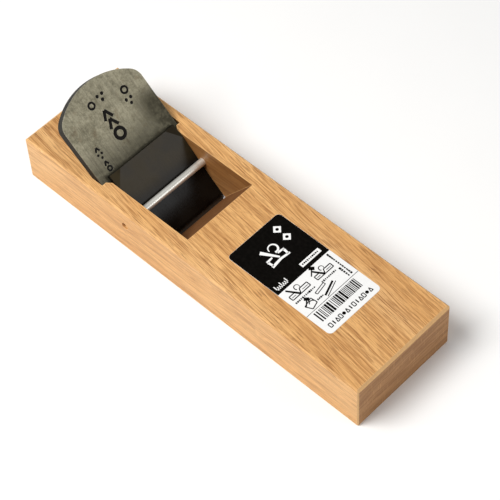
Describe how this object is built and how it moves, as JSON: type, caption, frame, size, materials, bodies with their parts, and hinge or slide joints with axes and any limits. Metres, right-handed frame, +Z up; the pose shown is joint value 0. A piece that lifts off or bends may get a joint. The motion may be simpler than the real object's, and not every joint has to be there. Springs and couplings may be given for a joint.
{
  "type": "hand plane",
  "caption": "Japanese pull plane: long hardwood block with a sloped throat, a domed laminated blade wedged in side grooves and a chip breaker under a cross pin.",
  "frame": {"origin": "centre of the sole, under the middle of the block", "axes": "+X along the block towards its long front end, +Y across the block to the far side, +Z up from the sole; the blade leans back towards -X"},
  "size_m": [0.278, 0.08, 0.0725],
  "materials": {
    "block_wood": "planed and lightly oiled",
    "pin_steel": "bright drawn",
    "label_paper": "coated paper, black and white print",
    "blade_iron": "forge-scale grey, mottled",
    "blade_steel": "ground",
    "breaker_iron": "smooth black lacquer",
    "breaker_steel": "ground"
  },
  "bodies": {
    "block": {"block": "block_wood", "retaining_pin": "pin_steel", "label": "label_paper"},
    "blade": {"blade_body": "blade_iron", "blade_edge_steel": "blade_steel"},
    "chip_breaker": {"chip_breaker_body": "breaker_iron", "chip_breaker_edge_steel": "breaker_steel"}
  },
  "joints": [
    {"name": "blade_slide", "type": "slide", "parent": "block", "child": "blade", "axis": [-0.7809, 0, 0.6247], "range_m": [-0.0009, 0.05]},
    {"name": "chip_breaker_slide", "type": "slide", "parent": "blade", "child": "chip_breaker", "axis": [-0.7559, 0, 0.6547], "range_m": [-0.0008, 0.06]}
  ]
}
